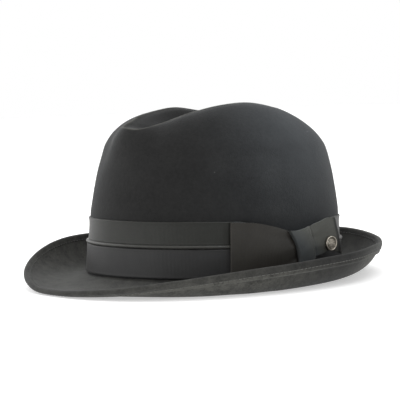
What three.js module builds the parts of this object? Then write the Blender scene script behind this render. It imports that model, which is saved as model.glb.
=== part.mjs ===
// A felt trilby: teardrop crown, short brim turned down in front and curled up behind,
// two-tier ribbon band with a corded seam, flat side bow and a small round pin.
//
// +Z is up, the front of the hat looks along -Y, and the wearer's left is +X.
// Lengths are in millimetres and angles in degrees. An angle round the hat is 0 at
// the front, 90 at the wearer's left and 180 at the back.

import * as THREE from "three";

// Head opening, felt and crown
const HEAD_LENGTH = 200;
const HEAD_WIDTH = 164;
const FELT = 2.2;
const CROWN_HEIGHT = 125.5;
const SHOULDER_HEIGHT = 88;
const DENT_FLOOR = 99;
const PINCH_DEPTH = 3;
const BREAK_RADIUS = 2;

// Brim
const BRIM_WIDTH = 46;
const WELT_WIDTH = 8;
const WELT_FELT = 1.6;
const CURL_LATENESS = 1.3;
const REST_FLAT = 0.8;

// Ribbon band
const GAP = 0.3;
const LOWER_TIER = 20.5;
const UPPER_TIER = 16.4;
const LOWER_RIBBON = 1.8;
const UPPER_RIBBON = 1;
const PIPING_HEIGHT = 2.6;
const PIPING_DEPTH = 2.6;
const RIBBON_EDGE = 0.3;

// Side bow and pin
const WING_RIBBON = 1.6;
const KNOT_RIBBON = 2;
const BOW_LIFT = 8;
const PIN_DIAMETER = 10.8;
const PIN_THICK = 1.6;
const PIN_RIM = 1;
const PIN_RECESS = 0.5;

// How finely round shapes are stepped
const STEPS_ROUND = 60;
const PIN_STEPS = 20;
const CAP_STEPS = 4;
const SECTION_STEPS = 24;

// Crown side below the shoulder. height is a share of SHOULDER_HEIGHT, reach a share of
// the head oval.
const CROWN_SIDE = [
  { height: 0.00, reach: 1.000 },
  { height: 0.22, reach: 0.991 },
  { height: 0.41, reach: 0.981 },
  { height: 0.50, reach: 0.985 },
  { height: 0.61, reach: 0.972 },
  { height: 0.72, reach: 0.956 },
  { height: 0.86, reach: 0.931 },
  { height: 1.00, reach: 0.898 },
];

// Shoulder, from the crown's side up to the ridge of the teardrop. rise is the share of
// the height between them, inward the share of the reach.
const CROWN_SHOULDER = [
  { rise: 0.00, inward: 0.00 },
  { rise: 0.25, inward: 0.075 },
  { rise: 0.50, inward: 0.225 },
  { rise: 0.66, inward: 0.37 },
  { rise: 0.80, inward: 0.54 },
  { rise: 0.91, inward: 0.72 },
  { rise: 0.98, inward: 0.88 },
  { rise: 1.00, inward: 1.00 },
];

// Wall of the teardrop dent, from its floor out to the ridge. out is a share of the
// ridge's reach, rise a share of the height from the floor to the ridge.
const DENT_WALL = [
  { out: 0.00, rise: 0.00 },
  { out: 0.26, rise: 0.05 },
  { out: 0.46, rise: 0.20 },
  { out: 0.62, rise: 0.44 },
  { out: 0.76, rise: 0.71 },
  { out: 0.88, rise: 0.92 },
  { out: 1.00, rise: 1.00 },
];

// Ridge round the teardrop, a row every so many degrees. reach is a share of the head
// oval, height a share of CROWN_HEIGHT.
const RIDGE = [
  { at: -148, reach: 0.487, height: 0.945 },
  { at: -115, reach: 0.50, height: 0.957 },
  { at: -84, reach: 0.50, height: 0.979 },
  { at: -57, reach: 0.537, height: 0.955 },
  { at: -36, reach: 0.60, height: 0.925 },
  { at: -20, reach: 0.70, height: 0.89 },
  { at: -9, reach: 0.80, height: 0.861 },
  { at: 0, reach: 0.83, height: 0.853 },
  { at: 9, reach: 0.80, height: 0.846 },
  { at: 20, reach: 0.70, height: 0.88 },
  { at: 36, reach: 0.60, height: 0.935 },
  { at: 57, reach: 0.537, height: 0.98 },
  { at: 84, reach: 0.50, height: 1.00 },
  { at: 115, reach: 0.50, height: 0.98 },
  { at: 148, reach: 0.487, height: 0.945 },
  { at: 180, reach: 0.488, height: 0.94 },
];

// Soft pinches beside the front of the crown. height and tall are shares of
// CROWN_HEIGHT, wide is in degrees.
const PINCHES = [
  { at: 21, height: 0.78, wide: 11, tall: 0.14 },
  { at: -21, height: 0.78, wide: 11, tall: 0.14 },
];

// Brim section, a row every so many degrees: the slope at which the brim leaves the
// crown, the slope at which it ends at the rim, and its width as a share of BRIM_WIDTH.
const BRIM = [
  { at: -150, leaves: -4, ends: 86, width: 0.92 },
  { at: -120, leaves: -7, ends: 85, width: 0.95 },
  { at: -84, leaves: -8, ends: 87, width: 0.98 },
  { at: -60, leaves: -12, ends: 81, width: 1.00 },
  { at: -35, leaves: -18, ends: 44, width: 1.01 },
  { at: -12, leaves: -22, ends: 15, width: 1.035 },
  { at: 0, leaves: -22, ends: 11, width: 1.00 },
  { at: 12, leaves: -24.5, ends: 19, width: 1.00 },
  { at: 24, leaves: -27, ends: 30, width: 1.00 },
  { at: 41, leaves: -33, ends: 55, width: 1.00 },
  { at: 50, leaves: -34, ends: 66, width: 1.00 },
  { at: 64, leaves: -33, ends: 79, width: 0.99 },
  { at: 77, leaves: -29, ends: 84, width: 0.98 },
  { at: 90, leaves: -23, ends: 86, width: 0.96 },
  { at: 106, leaves: -15, ends: 84, width: 0.94 },
  { at: 120, leaves: -7, ends: 84, width: 0.9 },
  { at: 138, leaves: 5.5, ends: 74, width: 0.81 },
  { at: 150, leaves: 7.5, ends: 75, width: 0.84 },
  { at: 180, leaves: 7, ends: 87, width: 0.90 },
];

// Brim rings, as shares of its width from the break to the welt's inner edge.
const BRIM_RINGS = [0.12, 0.3, 0.5, 0.68, 0.85, 1];

// Heights of the rings on the crown's side, as shares of SHOULDER_HEIGHT.
const SIDE_RINGS = [0.86, 0.68, 0.5, 0.42, 0.22];

// Top edge of the upper tier, as a share of the band's height. The ribbon is gathered
// under the bow, so its edge is drawn down there and doesn't show above the knot.
const TIER_TOP = [
  { at: 66, share: 1.00 },
  { at: 72, share: 0.95 },
  { at: 80, share: 0.86 },
  { at: 88, share: 0.76 },
  { at: 97, share: 0.76 },
  { at: 104, share: 0.85 },
  { at: 110, share: 0.93 },
  { at: 116, share: 0.97 },
  { at: 124, share: 1.00 },
];

// Front wing of the bow. top and bottom are shares of the band's height, lean the
// degrees by which the lower edge runs on past the upper one, lift a share of BOW_LIFT,
// and puff how far the middle stands out, as a share of it. A leaning edge is bowed: it
// leans most at its upper end.
const FRONT_WING = [
  { at: 60.9, lean: 0, top: 0.985, bottom: 0.04, lift: 0.00, puff: 0.00 },
  { at: 65.3, lean: 0, top: 0.985, bottom: 0.04, lift: 0.03, puff: 0.05 },
  { at: 72, lean: 0.5, top: 0.97, bottom: 0.04, lift: 0.08, puff: 0.09 },
  { at: 77, lean: 1.5, top: 0.93, bottom: 0.06, lift: 0.10, puff: 0.10 },
  { at: 82, lean: 3, top: 0.88, bottom: 0.12, lift: 0.06, puff: 0.07 },
  { at: 87, lean: 4, top: 0.82, bottom: 0.24, lift: 0.01, puff: 0.02 },
  { at: 91, lean: 4, top: 0.78, bottom: 0.30, lift: 0.00, puff: 0.00 },
];

// The knot and the back wing, with the same columns.
const KNOT = [
  { at: 86.4, lean: 4.8, top: 0.82, bottom: 0.27, lift: 0.30, puff: 0.04 },
  { at: 90, lean: 4.6, top: 0.82, bottom: 0.27, lift: 0.38, puff: 0.06 },
  { at: 94, lean: 4, top: 0.85, bottom: 0.29, lift: 0.40, puff: 0.05 },
  { at: 97, lean: 3.2, top: 0.89, bottom: 0.33, lift: 0.40, puff: 0.03 },
];

const BACK_WING = [
  { at: 94, lean: 3.2, top: 0.82, bottom: 0.35, lift: 0.12, puff: 0.00 },
  { at: 97, lean: 3.2, top: 0.865, bottom: 0.36, lift: 0.15, puff: 0.01 },
  { at: 98.4, lean: 3.2, top: 0.895, bottom: 0.37, lift: 0.32, puff: 0.02 },
  { at: 100.5, lean: 3.2, top: 0.93, bottom: 0.39, lift: 0.46, puff: 0.03 },
  { at: 103, lean: 3, top: 0.965, bottom: 0.43, lift: 0.60, puff: 0.04 },
  { at: 105.4, lean: 2.8, top: 1.01, bottom: 0.44, lift: 0.76, puff: 0.04 },
  { at: 107.9, lean: 3.6, top: 1.02, bottom: 0.41, lift: 0.93, puff: 0.03 },
  { at: 109.7, lean: 4.4, top: 1.02, bottom: 0.37, lift: 1.06, puff: 0.02 },
];

// The pin's place on the back wing, as shares along the wing and up it.
const PIN_ALONG = 0.7;
const PIN_UP = 0.22;

const WELT_INNER = 1 - WELT_WIDTH / BRIM_WIDTH;
const HALF_LENGTH = HEAD_LENGTH / 2 + FELT;
const HALF_WIDTH = HEAD_WIDTH / 2 + FELT;
const BAND_TOP = BREAK_RADIUS + LOWER_TIER + PIPING_HEIGHT + UPPER_TIER;
const BOW_SEAT = GAP + PIPING_DEPTH + GAP;

const UP = new THREE.Vector3(0, 0, 1);
const radians = THREE.MathUtils.degToRad;
const STEEPEST_TIP = radians(10);

// Smooth value of one column of a table at a place between two of its rows.
function between(rows, key, column, place) {
  let right = rows.findIndex((row) => row[key] > place);
  if (right === -1) right = rows.length - 1;
  right = Math.max(right, 1);
  const from = rows[right - 1];
  const to = rows[right];
  const before = rows[right - 2] ?? from;
  const after = rows[right + 1] ?? to;
  const span = to[key] - from[key];
  const share = THREE.MathUtils.clamp((place - from[key]) / span, 0, 1);
  const slopeFrom = ((to[column] - before[column]) / (to[key] - before[key])) * span;
  const slopeTo = ((after[column] - from[column]) / (after[key] - from[key])) * span;
  const square = share * share;
  const cube = square * share;
  return from[column] * (2 * cube - 3 * square + 1) + slopeFrom * (cube - 2 * square + share)
    + to[column] * (3 * square - 2 * cube) + slopeTo * (cube - square);
}

// The same for a table that runs round the hat and closes on itself.
function around(rows, column, angle) {
  const wrapped = [-360, 0, 360].flatMap((turn) => rows.map((row) => ({ ...row, at: row.at + turn })));
  const place = THREE.MathUtils.euclideanModulo(angle + 180, 360) - 180;
  return between(wrapped, "at", column, place);
}

// Point of the head oval, and the level direction square to it, at an angle.
function oval(angle) {
  const turn = radians(angle);
  return new THREE.Vector3(HALF_WIDTH * Math.sin(turn), -HALF_LENGTH * Math.cos(turn), 0);
}

function outward(angle) {
  const turn = radians(angle);
  return new THREE.Vector3(HALF_LENGTH * Math.sin(turn), -HALF_WIDTH * Math.cos(turn), 0).normalize();
}

function angleApart(angle, other) {
  return THREE.MathUtils.euclideanModulo(angle - other + 180, 360) - 180;
}

// Pushes a point of the crown inward where the front pinches lie.
function pinched(point, angle) {
  const push = PINCHES.reduce((sum, pinch) => {
    const across = angleApart(angle, pinch.at) / pinch.wide;
    const upward = (point.z / CROWN_HEIGHT - pinch.height) / pinch.tall;
    return sum + PINCH_DEPTH * Math.exp(-across * across - upward * upward);
  }, 0);
  return point.addScaledVector(outward(angle), -push);
}

function crownAt(angle, reach, height) {
  return pinched(oval(angle).multiplyScalar(reach).setZ(height), angle);
}

function crownSide(angle, height) {
  return crownAt(angle, between(CROWN_SIDE, "height", "reach", height / SHOULDER_HEIGHT), height);
}

function dentPoint(angle, out, rise) {
  const ridge = around(RIDGE, "height", angle) * CROWN_HEIGHT;
  const height = DENT_FLOOR + rise * (ridge - DENT_FLOOR);
  return crownAt(angle, out * around(RIDGE, "reach", angle), height);
}

function shoulderPoint(angle, rise, inward) {
  const ridge = around(RIDGE, "height", angle) * CROWN_HEIGHT;
  const reach = around(RIDGE, "reach", angle);
  const edge = CROWN_SIDE[CROWN_SIDE.length - 1].reach;
  const height = SHOULDER_HEIGHT + rise * (ridge - SHOULDER_HEIGHT);
  return crownAt(angle, edge + inward * (reach - edge), height);
}

// Level distance and height, from the break, of a point that lies at a share of the
// brim's section. The slope turns late, so that the curl is tightest at the rim.
function brimSection(angle, share) {
  const leaves = radians(around(BRIM, "leaves", angle));
  const turn = radians(around(BRIM, "ends", angle)) - leaves;
  const step = share / SECTION_STEPS;
  const length = around(BRIM, "width", angle) * BRIM_WIDTH * step;
  let out = 0;
  let up = 0;
  for (let count = 0; count < SECTION_STEPS; count += 1) {
    const slope = leaves + turn * ((count + 0.5) * step) ** CURL_LATENESS;
    out += Math.cos(slope) * length;
    up += Math.sin(slope) * length;
  }
  return { out, up };
}

function brimPoint(angle, share) {
  const { out, up } = brimSection(angle, share);
  return oval(angle).addScaledVector(outward(angle), out).setZ(up);
}

// Rounded break between the crown's side and the brim.
function breakPoint(angle) {
  const side = crownSide(angle, BREAK_RADIUS);
  const brim = brimPoint(angle, BREAK_RADIUS / BRIM_WIDTH);
  const corner = oval(angle);
  return side.add(brim).multiplyScalar(0.3).addScaledVector(corner, 0.4);
}

// Outside of the felt at one angle, from the crown's middle to the rim.
function outsideLine(angle) {
  const dent = DENT_WALL.slice(1).map((row) => dentPoint(angle, row.out, row.rise));
  const shoulder = CROWN_SHOULDER.slice(0, -1).reverse();
  return [
    ...dent,
    ...shoulder.map((row) => shoulderPoint(angle, row.rise, row.inward)),
    ...SIDE_RINGS.map((share) => crownSide(angle, share * SHOULDER_HEIGHT)),
    crownSide(angle, BREAK_RADIUS),
    breakPoint(angle),
    brimPoint(angle, BREAK_RADIUS / BRIM_WIDTH),
    ...BRIM_RINGS.map((share) => brimPoint(angle, share * WELT_INNER)),
    brimPoint(angle, (WELT_INNER + 1) / 2),
    brimPoint(angle, 1),
  ];
}

const ANGLES = Array.from({ length: STEPS_ROUND }, (_, step) => (360 * step) / STEPS_ROUND);

// Direction square to the felt at each point of a grid of lines, lengthened at a corner
// so that the felt keeps its thickness round it.
function feltNormals(lines) {
  return lines.map((line, side) => {
    const left = lines[(side + lines.length - 1) % lines.length];
    const right = lines[(side + 1) % lines.length];
    return line.map((point, ring) => {
      const along = right[ring].clone().sub(left[ring]);
      const square = (from, to) => to.clone().sub(from).cross(along).normalize();
      const inner = ring > 0 ? square(line[ring - 1], point) : UP;
      const outer = ring < line.length - 1 ? square(point, line[ring + 1]) : inner;
      const normal = inner.clone().add(outer).normalize();
      return normal.multiplyScalar(1 / Math.max(normal.dot(inner), 0.5));
    });
  });
}

// Rounded edge between the upper and lower face at the rim.
function rimCap(top, normal, angle) {
  const thick = FELT + WELT_FELT;
  const middle = top.clone().addScaledVector(normal, -thick / 2);
  const alongRim = new THREE.Vector3().crossVectors(UP, outward(angle));
  const beyond = new THREE.Vector3().crossVectors(alongRim, normal).normalize();
  return Array.from({ length: CAP_STEPS - 1 }, (_, step) => {
    const turn = Math.PI / 2 - (Math.PI * (step + 1)) / CAP_STEPS;
    return middle.clone()
      .addScaledVector(beyond, (Math.cos(turn) * thick) / 2)
      .addScaledVector(normal, (Math.sin(turn) * thick) / 2);
  });
}

// Inside of the felt at one angle, from under the rim back to the crown's middle. The
// turned-under welt is thicker and ends in a small step.
function insideLine(line, normals) {
  const last = line.length - 1;
  const stepRing = last - 2;
  const under = (ring, thick) => line[ring].clone().addScaledVector(normals[ring], -thick);
  const welt = [last, last - 1, stepRing].map((ring) => under(ring, FELT + WELT_FELT));
  const rest = Array.from({ length: stepRing + 1 }, (_, step) => under(stepRing - step, FELT));
  return [...welt, ...rest];
}

// Closed body from lines of points that run from one pole to another.
function closedBetweenPoles(firstPole, lines, lastPole) {
  const rings = lines[0].length;
  const positions = [firstPole, lastPole, ...lines.flat()].flatMap((point) => point.toArray());
  const at = (side, ring) => 2 + (side % lines.length) * rings + ring;
  const faces = [];
  lines.forEach((_, side) => {
    faces.push(0, at(side, 0), at(side + 1, 0));
    for (let ring = 0; ring < rings - 1; ring += 1) {
      faces.push(at(side, ring), at(side, ring + 1), at(side + 1, ring + 1));
      faces.push(at(side, ring), at(side + 1, ring + 1), at(side + 1, ring));
    }
    faces.push(1, at(side + 1, rings - 1), at(side, rings - 1));
  });
  return geometryFrom(positions, faces);
}

function geometryFrom(positions, faces) {
  const geometry = new THREE.BufferGeometry();
  geometry.setAttribute("position", new THREE.Float32BufferAttribute(positions, 3));
  geometry.setIndex(faces);
  geometry.computeVertexNormals();
  return geometry;
}

// Closed ring from sections that follow each other round the hat.
function closedRing(sections) {
  const corners = sections[0].length;
  const positions = sections.flat().flatMap((point) => point.toArray());
  const at = (side, corner) => (side % sections.length) * corners + (corner % corners);
  const faces = [];
  sections.forEach((section, side) => {
    section.forEach((_, corner) => {
      faces.push(at(side, corner), at(side + 1, corner), at(side + 1, corner + 1));
      faces.push(at(side, corner), at(side + 1, corner + 1), at(side, corner + 1));
    });
  });
  return geometryFrom(positions, faces);
}

// Closed strip from sections that follow each other, with a flat face at each end.
function closedStrip(sections) {
  const corners = sections[0].length;
  const last = sections.length - 1;
  const positions = sections.flat().flatMap((point) => point.toArray());
  const at = (side, corner) => side * corners + (corner % corners);
  const faces = [];
  for (let side = 0; side < last; side += 1) {
    for (let corner = 0; corner < corners; corner += 1) {
      faces.push(at(side, corner), at(side + 1, corner), at(side + 1, corner + 1));
      faces.push(at(side, corner), at(side + 1, corner + 1), at(side, corner + 1));
    }
  }
  // Each end is a ladder of corners between its inner and its outer side.
  for (let rung = 0; rung < corners / 2 - 1; rung += 1) {
    const near = [rung, rung + 1, corners - 2 - rung, corners - 1 - rung];
    faces.push(at(0, near[0]), at(0, near[1]), at(0, near[2]));
    faces.push(at(0, near[0]), at(0, near[2]), at(0, near[3]));
    faces.push(at(last, near[0]), at(last, near[2]), at(last, near[1]));
    faces.push(at(last, near[0]), at(last, near[3]), at(last, near[2]));
  }
  return geometryFrom(positions, faces);
}

// Finishes
const felt = new THREE.MeshStandardMaterial({ color: 0x262626, roughness: 0.95, metalness: 0 });
const ribbon = new THREE.MeshStandardMaterial({ color: 0x30302d, roughness: 0.7, metalness: 0 });
const bowRibbon = new THREE.MeshStandardMaterial({ color: 0x34312e, roughness: 0.6, metalness: 0 });
const pewter = new THREE.MeshStandardMaterial({ color: 0x9c9488, roughness: 0.4, metalness: 1 });

function piece(name, geometry, material) {
  const mesh = new THREE.Mesh(geometry, material);
  mesh.name = name;
  return mesh;
}

// Height of a point once the hat is tipped about the line from side to side.
function tippedHeight(point, tip) {
  return point.y * Math.sin(tip) + point.z * Math.cos(tip);
}

function lowest(points, tip) {
  return points.reduce((low, point) => Math.min(low, tippedHeight(point, tip)), Infinity);
}

// Tip at which the hat lies on its brim in front and behind at once.
function restingTip(points) {
  const front = points.filter((point) => point.y < 0);
  const back = points.filter((point) => point.y >= 0);
  let least = -STEEPEST_TIP;
  let most = STEEPEST_TIP;
  for (let halving = 0; halving < 40; halving += 1) {
    const middle = (least + most) / 2;
    if (lowest(front, middle) > lowest(back, middle)) least = middle;
    else most = middle;
  }
  return least;
}

// Felt hood: crown and brim in one
function hoodLines() {
  const outside = ANGLES.map(outsideLine);
  const normals = feltNormals(outside);
  return outside.map((line, side) => {
    const last = line.length - 1;
    const cap = rimCap(line[last], normals[side][last], ANGLES[side]);
    return [...line, ...cap, ...insideLine(line, normals[side])];
  });
}

// The felt is pressed flat where it lies on a table.
function makeHood(lines, tip, floor) {
  const rise = new THREE.Vector3(0, Math.sin(tip), Math.cos(tip));
  lines.flat().forEach((point) => {
    point.addScaledVector(rise, Math.max(floor - tippedHeight(point, tip), 0));
  });
  const top = new THREE.Vector3(0, 0, DENT_FLOOR);
  const under = new THREE.Vector3(0, 0, DENT_FLOOR - FELT);
  return closedBetweenPoles(top, lines, under);
}

// Ribbon tiers and the cord between them, each a closed ring round the crown
function bandRing(bottom, topAt, depth, edge) {
  return closedRing(ANGLES.map((angle) => {
    const top = topAt(angle);
    const section = [
      { out: 0, height: bottom },
      { out: depth - edge, height: bottom },
      { out: depth, height: bottom + edge },
      { out: depth, height: top - edge },
      { out: depth - edge, height: top },
      { out: 0, height: top },
    ];
    return section.map(({ out, height }) => (
      crownSide(angle, height).addScaledVector(outward(angle), GAP + out)
    ));
  }));
}

function lowestOverBrim(depth) {
  const over = ANGLES.map((angle) => brimSection(angle, (GAP + depth) / BRIM_WIDTH).up);
  return Math.max(BREAK_RADIUS, Math.max(...over) + GAP);
}

const PIPING_BOTTOM = BREAK_RADIUS + LOWER_TIER;
const PIPING_TOP = PIPING_BOTTOM + PIPING_HEIGHT;

function makeBandLower() {
  return bandRing(lowestOverBrim(LOWER_RIBBON), () => PIPING_BOTTOM - GAP, LOWER_RIBBON, RIBBON_EDGE);
}

function makePiping() {
  return bandRing(PIPING_BOTTOM, () => PIPING_TOP, PIPING_DEPTH, PIPING_HEIGHT * 0.3);
}

function makeBandUpper() {
  const topAt = (angle) => BAND_TOP * between(TIER_TOP, "at", "share", angle);
  return bandRing(PIPING_TOP + GAP, topAt, UPPER_RIBBON, RIBBON_EDGE);
}

// Point of a bow piece: across runs up it, from 0 at its lower edge to 1 at its upper one
function bowPoint(row, across, depth) {
  const angle = row.at + row.lean * (1 - across ** 2);
  const height = BAND_TOP * (row.bottom + across * (row.top - row.bottom));
  const swell = 4 * across * (1 - across);
  const stand = BOW_SEAT + BOW_LIFT * (row.lift + row.puff * swell) + depth;
  return crownSide(angle, height).addScaledVector(outward(angle), stand);
}

const BOW_ACROSS = [0, 0.15, 0.5, 0.85, 1];

function bowPiece(rows, thick) {
  return closedStrip(rows.map((row) => [
    ...BOW_ACROSS.map((across) => bowPoint(row, across, thick)),
    ...[...BOW_ACROSS].reverse().map((across) => bowPoint(row, across, 0)),
  ]));
}

// Round pin, face up, with a raised rim round a bare recessed face
function makePin() {
  const radius = PIN_DIAMETER / 2;
  const profile = [
    new THREE.Vector2(0, 0),
    new THREE.Vector2(radius - PIN_RECESS, 0),
    new THREE.Vector2(radius, PIN_RECESS),
    new THREE.Vector2(radius, PIN_THICK - PIN_RECESS),
    new THREE.Vector2(radius - PIN_RIM / 2, PIN_THICK),
    new THREE.Vector2(radius - PIN_RIM, PIN_THICK - PIN_RECESS),
    new THREE.Vector2(0, PIN_THICK - PIN_RECESS),
  ];
  return new THREE.LatheGeometry(profile, PIN_STEPS);
}

// The back wing's row at any place along it.
function wingRow(place) {
  const columns = ["lean", "top", "bottom", "lift", "puff"];
  const values = columns.map((column) => [column, between(BACK_WING, "at", column, place)]);
  return { at: place, ...Object.fromEntries(values) };
}

// Lays the pin on the back wing, square to it and just clear of it.
function placePin(mesh) {
  const radius = PIN_DIAMETER / 2;
  const place = THREE.MathUtils.lerp(BACK_WING[0].at, BACK_WING[BACK_WING.length - 1].at, PIN_ALONG);
  const turn = THREE.MathUtils.radToDeg(radius / HALF_LENGTH);
  const { top, bottom } = wingRow(place);
  const rise = radius / (BAND_TOP * (top - bottom));
  const wingPoint = (along, across) => bowPoint(wingRow(along), across, WING_RIBBON);
  const seat = wingPoint(place, PIN_UP);
  const ahead = wingPoint(place - turn, PIN_UP);
  const behind = wingPoint(place + turn, PIN_UP);
  const below = wingPoint(place, PIN_UP - rise);
  const above = wingPoint(place, PIN_UP + rise);
  const normal = behind.clone().sub(ahead).cross(above.clone().sub(below)).normalize();
  const proud = [ahead, behind, below, above].map((edge) => edge.sub(seat).dot(normal));
  mesh.quaternion.setFromUnitVectors(new THREE.Vector3(0, 1, 0), normal);
  mesh.position.copy(seat).addScaledVector(normal, Math.max(0, ...proud) + GAP);
}

const pin = piece("pin", makePin(), pewter);
placePin(pin);

const feltLines = hoodLines();
const tip = restingTip(feltLines.flat());
const floor = lowest(feltLines.flat(), tip) + REST_FLAT;

const hat = new THREE.Group();
hat.add(
  piece("felt_hood", makeHood(feltLines, tip, floor), felt),
  piece("band_lower", makeBandLower(), ribbon),
  piece("band_piping", makePiping(), ribbon),
  piece("band_upper", makeBandUpper(), ribbon),
  piece("bow_front_wing", bowPiece(FRONT_WING, WING_RIBBON), bowRibbon),
  piece("bow_knot", bowPiece(KNOT, KNOT_RIBBON), bowRibbon),
  piece("bow_back_wing", bowPiece(BACK_WING, WING_RIBBON), bowRibbon),
  pin,
);

// The hat stands as it rests by itself, with the middle of its outline on the origin.
hat.rotation.x = tip;
hat.updateMatrixWorld(true);
const middle = new THREE.Box3().setFromObject(hat, true).getCenter(new THREE.Vector3());
hat.position.set(-middle.x, -middle.y, -floor);

export default hat;
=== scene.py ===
# %% [markdown]
# A felt trilby
#
# A trilby is a short-brimmed hat of fur felt. Its crown is blocked into a teardrop, its brim is turned down
# in front and curled up at the sides and back, and a ribbon with a flat bow hides the seam between the two.
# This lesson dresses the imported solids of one. Each soft piece is built again as a fine surface from the
# same sizes, so that it lies where its solid lies to within two millimetres, and is then given the finish
# of felt, ribbon or pewter.

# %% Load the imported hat
import math

import bmesh
import bpy
import numpy as np
from mathutils import Matrix, Vector, noise


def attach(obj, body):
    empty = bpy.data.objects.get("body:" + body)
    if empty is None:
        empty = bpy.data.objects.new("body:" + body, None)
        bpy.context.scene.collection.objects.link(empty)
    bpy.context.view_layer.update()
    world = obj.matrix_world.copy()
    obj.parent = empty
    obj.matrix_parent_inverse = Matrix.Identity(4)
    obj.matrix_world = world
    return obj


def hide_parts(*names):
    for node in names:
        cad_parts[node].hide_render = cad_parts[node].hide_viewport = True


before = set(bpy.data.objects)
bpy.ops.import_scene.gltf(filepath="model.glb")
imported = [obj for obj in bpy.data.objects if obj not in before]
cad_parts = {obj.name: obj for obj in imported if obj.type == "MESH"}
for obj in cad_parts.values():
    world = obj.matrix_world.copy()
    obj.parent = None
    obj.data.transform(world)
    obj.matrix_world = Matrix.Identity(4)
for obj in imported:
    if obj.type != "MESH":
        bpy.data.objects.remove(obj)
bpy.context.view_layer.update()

MM = 0.001
print("Pieces to dress:", ", ".join(sorted(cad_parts)))

# %% [markdown]
# A hatter measures a hat at the head opening and works upward and outward from there. The sizes below are
# that opening, the felt, the crown and the brim, in metres. Every shape that follows is worked out from
# them.

# %% Sizes of the hood
HEAD_LENGTH = 200 * MM
HEAD_WIDTH = 164 * MM
FELT = 2.2 * MM
CROWN_HEIGHT = 125.5 * MM
SHOULDER_HEIGHT = 88 * MM
DENT_FLOOR = 99 * MM
PINCH_DEPTH = 3 * MM
BREAK_RADIUS = 2 * MM
BRIM_WIDTH = 46 * MM
WELT_WIDTH = 5.2 * MM
WELT_FELT = 1.6 * MM
CURL_LATENESS = 1.3
HALF_LENGTH = HEAD_LENGTH / 2 + FELT
HALF_WIDTH = HEAD_WIDTH / 2 + FELT
print("Head opening round the inside, in mm:", round(math.pi * (HEAD_LENGTH + HEAD_WIDTH) / 2 / MM))

# %% [markdown]
# Felt has no flat patterns to copy: its shape is a few section lines, as a block maker would note them
# down. Each table below holds one such line as shares of the sizes above. A smooth curve through the rows
# gives every place between them. It keeps the average slope of its neighbours at each row, so nothing
# kinks.

# %% Section tables


def rows(columns, *values):
    """A table with named columns."""
    return dict(zip(columns.split(), np.array(values, float).T))


def smooth(table, key, column, place):
    """Value of a column at places between the rows."""
    x, y = table[key], table[column]
    slope = np.concatenate([[(y[1] - y[0]) / (x[1] - x[0])], (y[2:] - y[:-2]) / (x[2:] - x[:-2]),
                            [(y[-1] - y[-2]) / (x[-1] - x[-2])]])
    left = np.clip(np.searchsorted(x, place, "right") - 1, 0, len(x) - 2)
    span = x[left + 1] - x[left]
    s = np.clip((place - x[left]) / span, 0, 1)
    return (y[left] * (2 * s**3 - 3 * s**2 + 1) + slope[left] * span * (s**3 - 2 * s**2 + s)
            + y[left + 1] * (3 * s**2 - 2 * s**3) + slope[left + 1] * span * (s**3 - s**2))


def around(table, column, angle):
    """The same for a table that runs round the hat and closes on itself."""
    closed = {name: np.tile(values, 3) for name, values in table.items()}
    closed["at"] = np.concatenate([table["at"] - 360, table["at"], table["at"] + 360])
    return smooth(closed, "at", column, (np.asarray(angle) + 180) % 360 - 180)


CROWN_SIDE = rows("height reach", (0, 1), (0.22, 0.991), (0.41, 0.981), (0.5, 0.985), (0.61, 0.972),
                  (0.72, 0.956), (0.86, 0.931), (1, 0.898))
CROWN_SHOULDER = rows("step rise inward", (0, 0, 0), (1, 0.25, 0.075), (2, 0.5, 0.225), (3, 0.66, 0.37),
                      (4, 0.8, 0.54), (5, 0.91, 0.72), (6, 0.98, 0.88), (7, 1, 1))
DENT_WALL = rows("out rise", (0, 0), (0.26, 0.05), (0.46, 0.2), (0.62, 0.44), (0.76, 0.71), (0.88, 0.92),
                 (1, 1))
RIDGE = rows("at reach height", (-148, 0.487, 0.945), (-115, 0.5, 0.957), (-84, 0.5, 0.979),
             (-57, 0.537, 0.955), (-36, 0.6, 0.925), (-20, 0.7, 0.89), (-9, 0.8, 0.861), (0, 0.83, 0.853),
             (9, 0.8, 0.846), (20, 0.7, 0.88), (36, 0.6, 0.935), (57, 0.537, 0.98), (84, 0.5, 1),
             (115, 0.5, 0.98), (148, 0.487, 0.945), (180, 0.488, 0.94))
PINCHES = rows("at height wide tall", (21, 0.78, 11, 0.14), (-21, 0.78, 11, 0.14))
BRIM = rows("at leaves ends width", (-150, -4, 86, 0.92), (-120, -7, 85, 0.95), (-84, -8, 87, 0.98),
            (-60, -12, 81, 1), (-35, -18, 44, 1.01), (-12, -22, 15, 1.035), (0, -22, 11, 1),
            (12, -24.5, 19, 1), (24, -27, 30, 1), (41, -33, 55, 1), (50, -34, 66, 1), (64, -33, 79, 0.99),
            (77, -29, 84, 0.98), (90, -23, 86, 0.96), (106, -15, 84, 0.94), (120, -7, 84, 0.9),
            (138, 5.5, 74, 0.81), (150, 7.5, 75, 0.84), (180, 7, 87, 0.9))
print("Rows round the brim:", len(BRIM["at"]), "and round the teardrop:", len(RIDGE["at"]))

# %% [markdown]
# Angles run round the hat from 0 at the front, through 90 at the wearer's left, to 180 at the back. These
# functions turn an angle and a height or a share into a point, for whole arrays of points at once.

# %% Points of the crown and the brim


def oval(angle):
    """Point of the head oval at an angle."""
    turn = np.radians(angle)
    return np.stack([HALF_WIDTH * np.sin(turn), -HALF_LENGTH * np.cos(turn), 0 * turn], -1)


def unit(vectors):
    """The same directions with a length of one."""
    return vectors / np.linalg.norm(vectors, axis=-1, keepdims=True)


def outward(angle):
    """Level direction square to the oval."""
    turn = np.radians(angle)
    return unit(np.stack([HALF_LENGTH * np.sin(turn), -HALF_WIDTH * np.cos(turn), 0 * turn], -1))


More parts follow.
